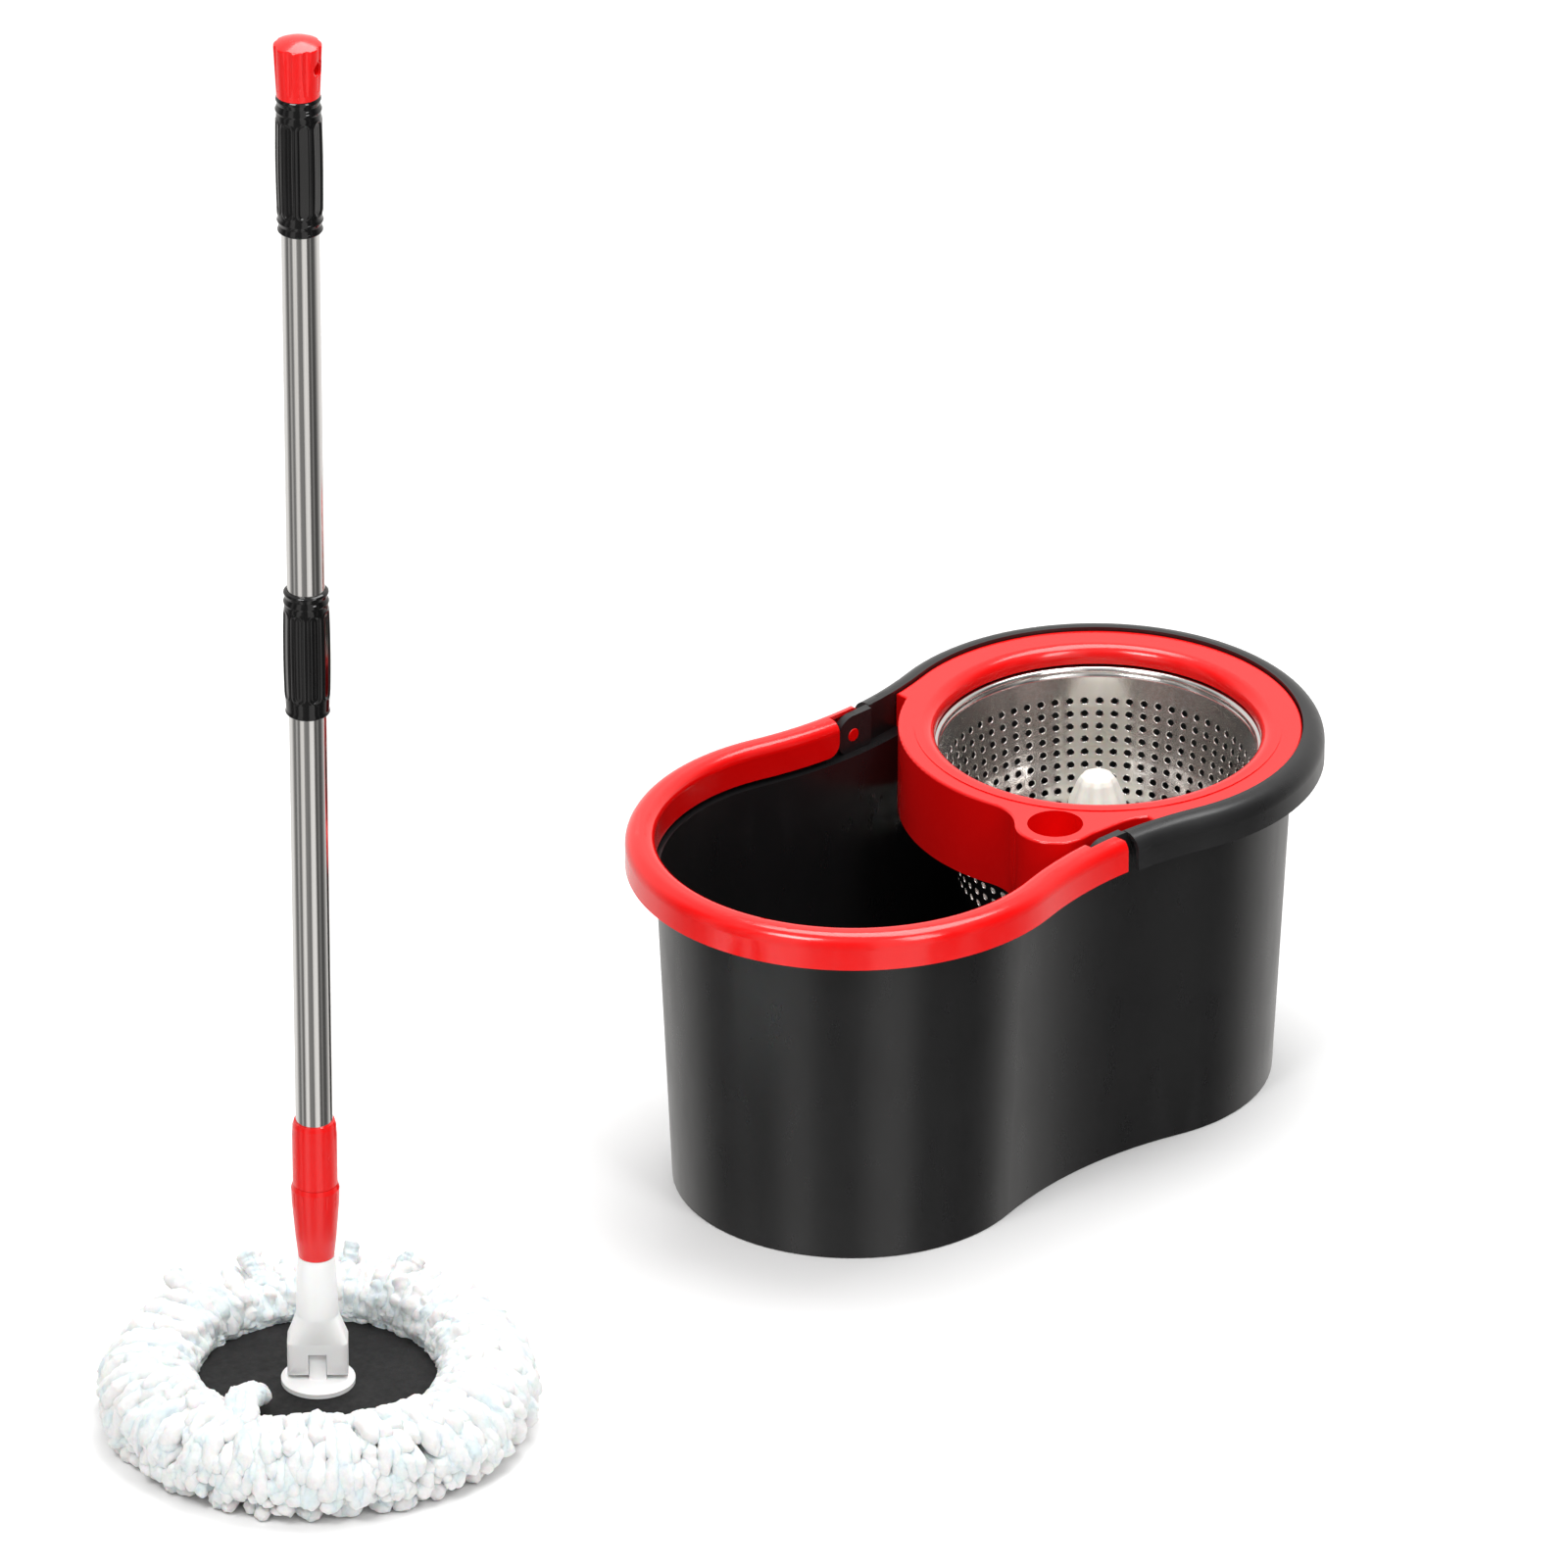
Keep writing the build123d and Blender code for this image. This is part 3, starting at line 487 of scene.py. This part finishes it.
def make_basket_post(materials):
    """Eight-lobed cream post: round dome on top, ribs that widen towards the foot."""
    low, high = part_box("basket_post")
    flutes = 8
    count = flutes * 16
    height = high.z - low.z
    # (share of the height, mean radius, depth of the flutes)
    stations = [(0.0, 31.5, 0.0), (0.03, 31.5, 0.0), (0.045, 30.5, 0.3), (0.10, 25.5, 1.2), (0.20, 23.0, 1.8),
                (0.40, 21.0, 2.2), (0.60, 19.8, 2.4), (0.76, 18.4, 2.4), (0.83, 16.2, 2.0), (0.88, 14.3, 1.5),
                (0.93, 12.6, 1.1), (0.965, 10.6, 0.7), (0.985, 7.8, 0.35), (0.997, 4.0, 0.1)]
    shares = np.array([s[0] for s in stations])
    fine = np.concatenate([np.linspace(0, 0.85, 40), np.linspace(0.86, 0.997, 24)])
    radii = np.interp(fine, shares, [s[1] for s in stations])
    depths = np.interp(fine, shares, [s[2] for s in stations])
    vertices = []
    for share, radius, depth in zip(fine, radii, depths):
        for i in range(count):
            a = 2 * math.pi * i / count
            lobe = math.cos(flutes * a)
            r = (radius - depth * (0.5 - 0.5 * lobe) ** 1.5) * MM
            x, y = SPIN_AXIS.x + r * math.cos(a), SPIN_AXIS.y + r * math.sin(a)
            vertices.append((x, y, low.z + share * height))
    faces = grid_faces(len(fine), count)
    vertices.append((SPIN_AXIS.x, SPIN_AXIS.y, high.z))
    tip = len(vertices) - 1
    base = (len(fine) - 1) * count
    faces += [(base + i, base + (i + 1) % count, tip) for i in range(count)]
    faces.append(tuple(range(count))[::-1])
    post = new_piece("post_fluted", vertices, faces)
    finish_piece(post, "basket", "post_plastic", materials, "basket_post")


# ---------------------------------------------------------------- microfibre tufts

STRAND_STEPS = 42
STRAND_SIDES = 12
LATTICE = 48              # points along each side of the noise lattice
NOISE_TABLE = np.random.default_rng(5).uniform(-1.0, 1.0, (LATTICE, LATTICE, LATTICE))


def smooth_noise(points, size):
    """Smooth lattice noise from -1 to 1, with lumps of about the given size."""
    cell = points / size
    whole = np.floor(cell).astype(int)
    part = cell - whole
    part = part * part * (3.0 - 2.0 * part)
    total = 0.0
    for dx in (0, 1):
        for dy in (0, 1):
            for dz in (0, 1):
                place = (whole + np.array([dx, dy, dz])) % LATTICE
                value = NOISE_TABLE[place[..., 0], place[..., 1], place[..., 2]]
                weight = 1.0
                for axis, step in enumerate((dx, dy, dz)):
                    weight = weight * (part[..., axis] if step else 1.0 - part[..., axis])
                total = total + value * weight
    return total


def smooth_path(controls, steps, passes=9):
    """Evenly spaced points on a softened line through (radius, height) controls."""
    controls = np.asarray(controls, dtype=float)
    runs = np.linalg.norm(np.diff(controls, axis=0), axis=1)
    along = np.concatenate([[0.0], np.cumsum(runs)])
    where = np.linspace(0.0, along[-1], steps)
    path = np.stack([np.interp(where, along, controls[:, k]) for k in (0, 1)], axis=1)
    for _ in range(passes):
        path[1:-1] = 0.25 * path[:-2] + 0.5 * path[1:-1] + 0.25 * path[2:]
    return path


def strand_surface(paths, radii):
    """Points round every strand: arrays of (strand, step, side, xyz)."""
    tangents = np.gradient(paths, axis=1)
    tangents /= np.linalg.norm(tangents, axis=2, keepdims=True)
    side = np.cross(tangents, np.array([0.0, 0.0, 1.0]))
    flat = np.linalg.norm(side, axis=2, keepdims=True)
    side = side / np.maximum(flat, 1e-6)
    up = np.cross(side, tangents)
    turn = 2 * math.pi * np.arange(STRAND_SIDES) / STRAND_SIDES
    outward = side[:, :, None] * np.cos(turn)[:, None] + up[:, :, None] * np.sin(turn)[:, None]
    points = paths[:, :, None] + outward * radii[:, :, None, None]
    pile = 1.0 * smooth_noise(points, 8.0 * MM) + 1.2 * smooth_noise(points, 3.6 * MM)
    pile = pile + 0.8 * smooth_noise(points, 1.6 * MM)
    taper = np.clip(radii / (3.0 * MM), 0.25, 1.0)[:, :, None]
    points = points + outward * (pile * taper * MM)[..., None]
    points[..., 2] = np.maximum(points[..., 2], 0.3 * MM)
    return points


def strands_piece(name, paths, radii):
    """One mesh of closed strands from (strand, step, xyz) lines."""
    points = strand_surface(paths, radii)
    count, steps, sides = points.shape[:3]
    vertices = points.reshape(-1, 3)
    i = np.arange(sides)
    k = (i + 1) % sides
    faces = []
    for strand in range(count):
        base = strand * steps * sides
        for j in range(steps - 1):
            low = base + j * sides
            high = low + sides
            faces += np.stack([low + i, low + k, high + k, high + i], axis=1).tolist()
        faces.append((base + i)[::-1].tolist())
        faces.append((base + (steps - 1) * sides + i).tolist())
    return new_piece(name, vertices, faces)


def tip_profile(steps, blunt=0.10):
    """Share of the full radius along a strand, rounded off at both ends."""
    share = np.linspace(0.0, 1.0, steps)
    start = np.clip(share / 0.05, 0.0, 1.0)
    end = np.clip((1.0 - share) / blunt, 0.0, 1.0)
    return np.maximum(0.15, np.sqrt(1.0 - (1.0 - start) ** 2) * np.sqrt(1.0 - (1.0 - end) ** 2))


def round_the_ring(angle, lumps, seed):
    """Smooth value from -1 to 1 that changes slowly round the ring."""
    levels = np.random.default_rng(seed).uniform(-1.0, 1.0, lumps)
    where = (angle / (2 * math.pi) * lumps) % lumps
    low = int(where)
    part = where - low
    part = part * part * (3.0 - 2.0 * part)
    return levels[low % lumps] * (1.0 - part) + levels[(low + 1) % lumps] * part


def layer_paths(controls, count, shortest, seed):
    """Strands of one layer. They wander sideways, and some end short of the ring's edge."""
    rng = np.random.default_rng(seed)
    line = smooth_path(controls, 200, 60)
    share = np.linspace(0.0, 1.0, STRAND_STEPS)
    paths = np.zeros((count, STRAND_STEPS, 3))
    sizes = np.zeros((count, STRAND_STEPS))
    for n in range(count):
        angle = 2 * math.pi * (n + rng.uniform(-0.45, 0.45)) / count
        edge = 0.955 + 0.032 * round_the_ring(angle, 13, 3) + 0.018 * round_the_ring(angle, 47, 4)
        height = 0.99 + 0.06 * round_the_ring(angle, 21, 5) + rng.uniform(-0.05, 0.04)
        where = share * rng.uniform(shortest, 1.0) * 199
        radius = np.interp(where, np.arange(200), line[:, 0])
        radius = line[0, 0] + (radius - line[0, 0]) * edge
        z = np.interp(where, np.arange(200), line[:, 1])
        wave = rng.uniform(0, 2 * math.pi)
        swing = 0.030 * np.sin(wave + rng.uniform(4.0, 8.0) * share) * share
        a = angle + swing + rng.uniform(-0.06, 0.06) * share
        z = z * (1.0 + (height - 1.0) * np.clip(share * 3, 0, 1))
        z = z + 1.3 * np.sin(wave * 2 + 9.0 * share) * share
        paths[n, :, 0] = MOP_AXIS.x / MM + radius * np.cos(a)
        paths[n, :, 1] = MOP_AXIS.y / MM + radius * np.sin(a)
        paths[n, :, 2] = z
        lumps = 1.0 + 0.12 * np.sin(wave * 3 + rng.uniform(14.0, 24.0) * share)
        sizes[n] = rng.uniform(4.8, 6.2) * lumps * tip_profile(STRAND_STEPS)
    return paths * MM, sizes * MM


def stray_paths(strays, seed):
    """Single tufts that lie out of line, each a bundle of strands that share a tip."""
    rng = np.random.default_rng(seed)
    share = np.linspace(0.0, 1.0, STRAND_STEPS)
    paths, sizes = [], []
    for angle, turn, spread, strands, thick, controls in strays:
        line = smooth_path(controls, STRAND_STEPS, 5)
        for n in range(strands):
            start = math.radians(angle + rng.uniform(-spread, spread))
            a = start + math.radians(turn + rng.uniform(-spread, spread)) * share
            r = line[0, 0] + (line[:, 0] - line[0, 0]) * rng.uniform(0.86, 1.0)
            z = line[:, 1] + rng.uniform(-1.0, 2.0) * share
            x = MOP_AXIS.x / MM + r * np.cos(a)
            y = MOP_AXIS.y / MM + r * np.sin(a)
            paths.append(np.stack([x, y, z], axis=1))
            sizes.append(thick * rng.uniform(0.88, 1.0) * tip_profile(STRAND_STEPS, 0.14))
    return np.array(paths) * MM, np.array(sizes) * MM


def make_fibres(materials):
    # name, count, shortest share of the line, seed, (radius, height) controls
    layers = [
        ("tufts_floor", 120, 0.90, 11, [(58, 8), (90, 7), (120, 6), (138, 5)]),
        ("tufts_low", 140, 0.88, 12, [(72, 12), (88, 16), (112, 18), (134, 14), (138, 6)]),
        ("tufts_mid", 150, 0.86, 13, [(76, 14), (86, 24), (108, 28), (132, 24), (138, 10)]),
        ("tufts_high", 150, 0.80, 14, [(84, 16), (80, 27), (88, 36), (108, 38), (130, 32), (137, 14)]),
        ("tufts_top", 150, 0.66, 15, [(84, 18), (79, 29), (84, 39), (100, 44), (122, 42), (133, 30), (136, 14)]),
        ("tufts_crown", 130, 0.45, 16, [(85, 20), (80, 31), (84, 41), (96, 47), (114, 46), (126, 38)]),
    ]
    for name, count, shortest, seed, controls in layers:
        layer = strands_piece(name, *layer_paths(controls, count, shortest, seed))
        finish_piece(layer, "mop_head", "microfibre", materials, "mop_fibres")
    # angle from the frame's +X, turn along it, spread, strands, thickness, (radius, height) controls
    strays = [
        (VIEW_AZIMUTH - 118.0, -20.0, 7.0, 8, 5.6, [(102, 42), (86, 46), (68, 45), (52, 39), (42, 33)]),
        (VIEW_AZIMUTH - 86.0, 0.0, 2.5, 3, 4.6, [(94, 42), (82, 43), (70, 38), (62, 32)]),
        (VIEW_AZIMUTH - 140.0, 0.0, 3.0, 3, 4.6, [(94, 42), (84, 42), (76, 37), (70, 32)]),
        (VIEW_AZIMUTH - 104.0, 0.0, 3.0, 3, 4.6, [(94, 42), (84, 42), (76, 37), (68, 32)]),
        (VIEW_AZIMUTH - 45.0, 0.0, 3.0, 3, 4.6, [(94, 42), (84, 41), (76, 35), (70, 31)]),
        (VIEW_AZIMUTH + 112.0, 2.0, 1.5, 3, 5.0, [(92, 42), (104, 48), (112, 53), (117, 58)]),
        (VIEW_AZIMUTH + 62.0, -2.0, 1.5, 3, 5.0, [(92, 42), (106, 48), (115, 53), (121, 57)]),
        (VIEW_AZIMUTH + 80.0, 0.0, 1.5, 3, 5.0, [(92, 42), (104, 49), (112, 55), (116, 60)]),
        (VIEW_AZIMUTH + 138.0, 0.0, 2.0, 3, 5.0, [(94, 42), (110, 47), (124, 50), (131, 52)]),
    ]
    stray = strands_piece("tufts_stray", *stray_paths(strays, 21))
    finish_piece(stray, "mop_head", "microfibre", materials, "mop_fibres")


# ---------------------------------------------------------------- moulded grips

def grip_radius(z, angle, low, high, panels, beads):
    """Outer radius in mm of a barrel grip with long recessed oval panels and beads."""
    share = (z - low) / (high - low)
    barrel = 13.05 + 0.95 * math.sin(math.pi * min(max(share, 0.0), 1.0)) ** 0.8
    count, phase, half_width, panel_low, panel_high, depth = panels
    step = 2 * math.pi / count
    offset = (angle - phase + step / 2) % step - step / 2
    across = barrel * abs(offset)
    centre = (panel_low + panel_high) / 2
    half_length = (panel_high - panel_low) / 2 - half_width
    beyond = max(abs(z - centre) - half_length, 0.0)
    away = math.hypot(across, beyond) - half_width
    dip = min(max(-away / 0.7, 0.0), 1.0)
    dip = dip * dip * (3 - 2 * dip)
    lip = math.exp(-((away - 0.40) / 0.45) ** 2)
    r = barrel - depth * dip * (0.65 + 0.35 * min(-away / half_width, 1.0)) + 0.42 * lip
    for bead_z, height, width in beads:
        r += height * math.exp(-((z - bead_z) / width) ** 2)
    return min(r, 14.55)


def make_grip_piece(name, node, materials, panels, beads):
    low_box, high_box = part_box(node)
    low, high = low_box.z / MM, high_box.z / MM
    around, row_step = 176, 0.62
    rows = int((high - low) / row_step)
    heights = np.linspace(low, high, rows)
    vertices = []
    lines = [(None, low)] + [(1.0, z) for z in heights] + [(None, high)]
    for kind, z in lines:
        edge = min(z - low, high - z)
        soften = 0.9 * max(0.0, 1.0 - edge / 0.9) ** 2
        for i in range(around):
            a = 2 * math.pi * i / around
            r = 11.6 if kind is None else grip_radius(z, a, low, high, panels, beads) - soften
            x, y = MOP_AXIS.x / MM + r * math.cos(a), MOP_AXIS.y / MM + r * math.sin(a)
            vertices.append((x * MM, y * MM, z * MM))
    faces = grid_faces(len(lines), around)
    last = (len(lines) - 1) * around
    faces += [(last + i, last + (i + 1) % around, (i + 1) % around, i) for i in range(around)]
    piece = new_piece(name, vertices, faces)
    finish_piece(piece, "pole", "grip_black", materials, node)


def make_grips(materials):
    facing = math.radians(VIEW_AZIMUTH - 90)
    low, high = (v.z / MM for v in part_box("grip"))
    make_grip_piece("grip_moulded", "grip", materials,
                    (8, facing + math.radians(14), 3.7, low + 13, high - 15, 0.95),
                    [(low + 1.6, 0.7, 0.8), (low + 4.8, -0.7, 0.8), (low + 8.0, 0.7, 0.9), (high - 9.0, 0.7, 1.1),
                     (high - 5.5, -0.6, 0.9), (high - 2.2, 0.6, 0.9)])
    low, high = (v.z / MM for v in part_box("mid_sleeve"))
    make_grip_piece("mid_sleeve_moulded", "mid_sleeve", materials,
                    (8, facing + math.radians(22), 3.4, low + 12, high - 13, 0.8),
                    [(high - 1.6, 0.7, 0.9), (high - 4.8, -0.8, 0.7), (high - 7.6, 0.6, 0.9), (low + 1.6, 0.6, 0.8)])


# ---------------------------------------------------------------- stage

def camera_axes():
    az, el = math.radians(VIEW_AZIMUTH), math.radians(VIEW_ELEVATION)
    back = Vector((math.sin(az) * math.cos(el), -math.cos(az) * math.cos(el), math.sin(el)))
    right = Vector((math.cos(az), math.sin(az), 0.0))
    return back, right, back.cross(right)


def make_camera():
    """Long lens at the object's three-quarter view, the mop towards the left."""
    back, right, up = camera_axes()
    aim = Vector((MOP_AXIS.x, MOP_AXIS.y, 0)) + right * 0.288 + up * 0.391
    camera = bpy.data.cameras.new("camera")
    camera.sensor_width = SENSOR
    camera.lens = PIXELS_PER_METRE * VIEW_DISTANCE / FRAME_PIXELS * SENSOR
    camera.clip_end = 100.0
    holder = bpy.data.objects.new("camera", camera)
    holder.location = aim + back * VIEW_DISTANCE
    holder.rotation_euler = back.to_track_quat("Z", "Y").to_euler()
    bpy.context.scene.collection.objects.link(holder)
    bpy.context.scene.camera = holder


def make_floor():
    """White sweep. Gloss looks past it to the studio around, as on a lit table."""
    size = 30.0
    floor = new_piece("floor", [(-size, -size, 0), (size, -size, 0), (size, size, 0), (-size, size, 0)],
                      [(0, 1, 2, 3)], smooth=False)
    floor.location.z = -0.0005
    floor.visible_glossy = False
    shader = Shader("floor_paper", (0.90, 0.90, 0.90), 0.9)
    shader.colour_from(shader.ramp(shader.noise(1.2, 2.0), (0.89, 0.89, 0.89), (0.905, 0.905, 0.905)))
    shader.set("Specular IOR Level", 0.0)
    floor.data.materials.append(shader.material)


def area_light(name, azimuth, elevation, distance, size, power):
    """A rectangular softbox aimed at the object; azimuth is measured from the view."""
    az = math.radians(VIEW_AZIMUTH + azimuth)
    el = math.radians(elevation)
    away = Vector((math.sin(az) * math.cos(el), -math.cos(az) * math.cos(el), math.sin(el)))
    light = bpy.data.lights.new(name, "AREA")
    light.shape = "RECTANGLE"
    light.size, light.size_y = size
    light.energy = power
    holder = bpy.data.objects.new(name, light)
    holder.location = Vector((0.0, 0.0, 0.25)) + away * distance
    holder.rotation_euler = away.to_track_quat("Z", "Y").to_euler()
    bpy.context.scene.collection.objects.link(holder)


# Studio surroundings: (degrees round from the view, brightness). The side behind the
# object is a lit white wall; the near side is dim, with upright lit panels in it.
SURROUNDINGS = [(-180, 1.00), (-118, 0.95), (-104, 0.50), (-92, 0.16), (-80, 0.20), (-76, 0.55),
                (-70, 0.50), (-62, 0.20), (-52, 0.22), (-44, 0.90), (-28, 1.00), (-22, 0.30),
                (-8, 0.24), (6, 0.22), (12, 0.95), (36, 1.00), (41, 0.14), (55, 0.12),
                (60, 0.34), (68, 0.10), (86, 0.09), (96, 0.30), (112, 0.75), (128, 1.00), (180, 1.00)]


def make_world():
    world = bpy.data.worlds.new("studio")
    world.use_nodes = True
    tree = world.node_tree
    background = tree.nodes["Background"]
    background.inputs["Strength"].default_value = 0.9
    turn = tree.nodes.new("ShaderNodeMapping")
    turn.inputs["Rotation"].default_value = (0.0, 0.0, math.radians(-VIEW_AZIMUTH))
    tree.links.new(tree.nodes.new("ShaderNodeTexCoord").outputs["Generated"], turn.inputs["Vector"])
    split = tree.nodes.new("ShaderNodeSeparateXYZ")
    tree.links.new(turn.outputs["Vector"], split.inputs["Vector"])
    back = tree.nodes.new("ShaderNodeMath")
    back.operation = "MULTIPLY"
    back.inputs[1].default_value = -1.0
    tree.links.new(split.outputs["Y"], back.inputs[0])
    angle = tree.nodes.new("ShaderNodeMath")
    angle.operation = "ARCTAN2"
    tree.links.new(split.outputs["X"], angle.inputs[0])
    tree.links.new(back.outputs[0], angle.inputs[1])
    share = tree.nodes.new("ShaderNodeMapRange")
    share.inputs["From Min"].default_value = -math.pi
    share.inputs["From Max"].default_value = math.pi
    tree.links.new(angle.outputs[0], share.inputs["Value"])
    bands = tree.nodes.new("ShaderNodeValToRGB")
    stops = bands.color_ramp.elements
    while len(stops) < len(SURROUNDINGS):
        stops.new(0.5)
    for stop, (degrees, level) in zip(stops, SURROUNDINGS):
        stop.position = (degrees + 180) / 360
        stop.color = (level, level * 0.985, level * 0.965, 1)
    tree.links.new(share.outputs["Result"], bands.inputs["Fac"])
    rise = tree.nodes.new("ShaderNodeMapRange")
    rise.inputs["From Min"].default_value = 0.55
    rise.inputs["From Max"].default_value = 0.85
    tree.links.new(split.outputs["Z"], rise.inputs["Value"])
    mix = tree.nodes.new("ShaderNodeMix")
    mix.data_type = "RGBA"
    mix.inputs["B"].default_value = (0.75, 0.75, 0.75, 1)
    tree.links.new(rise.outputs["Result"], mix.inputs["Factor"])
    tree.links.new(bands.outputs["Color"], mix.inputs["A"])
    tree.links.new(mix.outputs["Result"], background.inputs["Color"])
    bpy.context.scene.world = world


def make_lights():
    # name, azimuth from the view, elevation, distance, size, power
    area_light("overhead", 150, 72, 2.6, (2.2, 1.6), 62)
    area_light("key", -35, 52, 2.8, (0.9, 0.9), 30)
    area_light("fill", 40, 40, 3.0, (0.7, 1.4), 20)
    bpy.context.scene.view_settings.view_transform = "Standard"


# ---------------------------------------------------------------- scene

make_camera()
make_floor()
make_world()
make_lights()
MATERIALS = make_materials()
dress_cad_nodes(MATERIALS)
make_basket_bowl(MATERIALS)
make_basket_post(MATERIALS)
make_fibres(MATERIALS)
make_grips(MATERIALS)
